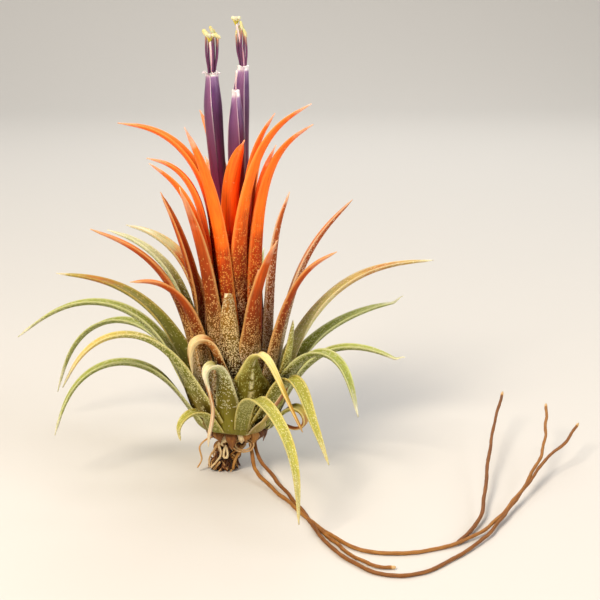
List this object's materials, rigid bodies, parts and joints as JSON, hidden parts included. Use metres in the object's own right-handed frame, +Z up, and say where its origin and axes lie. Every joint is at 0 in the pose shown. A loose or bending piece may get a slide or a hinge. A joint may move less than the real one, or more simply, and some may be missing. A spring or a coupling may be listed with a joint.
{
  "type": "sky plant",
  "caption": "Flowering air plant: rosette of narrow arching leaves on a short crown, violet tube flowers above, and a dry root stump with long trailing roots that it stands on.",
  "frame": {"origin": "on the surface that the plant stands on, inside the flat foot of the root stump, under the middle of the crown", "axes": "+Z up along the flowers, +X to the viewer's right in the picture, +Y away from the viewer"},
  "size_m": [0.132, 0.1044, 0.1024],
  "materials": {
    "leaf_red": "satin living leaf, flushed orange red",
    "leaf_bronze": "matte living leaf, bronze with silvery scales",
    "leaf_green": "matte living leaf, olive green with silvery scales",
    "stem": "matte short stem and dried leaf",
    "root": "matte dry wiry root",
    "petal": "satin violet petal",
    "stamen": "satin violet filament",
    "calyx": "matte pale sepal"
  },
  "bodies": {
    "root": {"crown": "stem", "leaf_01": "leaf_red", "leaf_02": "leaf_red", "leaf_03": "leaf_red", "leaf_04": "leaf_red", "leaf_05": "leaf_red", "leaf_06": "leaf_red", "leaf_07": "leaf_red", "leaf_08": "leaf_red", "leaf_09": "leaf_red", "leaf_10": "leaf_red", "leaf_11": "leaf_red", "leaf_12": "leaf_red", "leaf_13": "leaf_red", "leaf_14": "leaf_bronze", "leaf_15": "leaf_bronze", "leaf_16": "leaf_bronze", "leaf_17": "leaf_bronze", "leaf_18": "leaf_bronze", "leaf_19": "leaf_bronze", "leaf_20": "leaf_bronze", "leaf_21": "leaf_green", "leaf_22": "leaf_bronze", "leaf_23": "leaf_green", "leaf_24": "leaf_bronze", "leaf_25": "leaf_bronze", "leaf_26": "leaf_bronze", "leaf_27": "leaf_bronze", "leaf_28": "leaf_green", "leaf_29": "leaf_green", "leaf_30": "leaf_green", "leaf_31": "leaf_green", "leaf_32": "leaf_green", "leaf_33": "leaf_green", "leaf_34": "leaf_green", "leaf_35": "leaf_green", "leaf_36": "leaf_green", "leaf_37": "leaf_green", "leaf_38": "leaf_green", "leaf_39": "leaf_green", "leaf_40": "leaf_green", "leaf_41": "leaf_green", "leaf_42": "leaf_green", "leaf_43": "leaf_green", "leaf_44": "leaf_green", "leaf_45": "leaf_green", "leaf_46": "leaf_green", "leaf_47": "stem", "leaf_48": "leaf_green", "calyx_left": "calyx", "petals_left": "petal", "stamens_left": "stamen", "calyx_right": "calyx", "petals_right": "petal", "stamens_right": "stamen", "calyx_front": "calyx", "petals_front": "petal", "stamens_front": "stamen", "root_stump": "root", "long_roots": "root"}
  },
  "joints": []
}
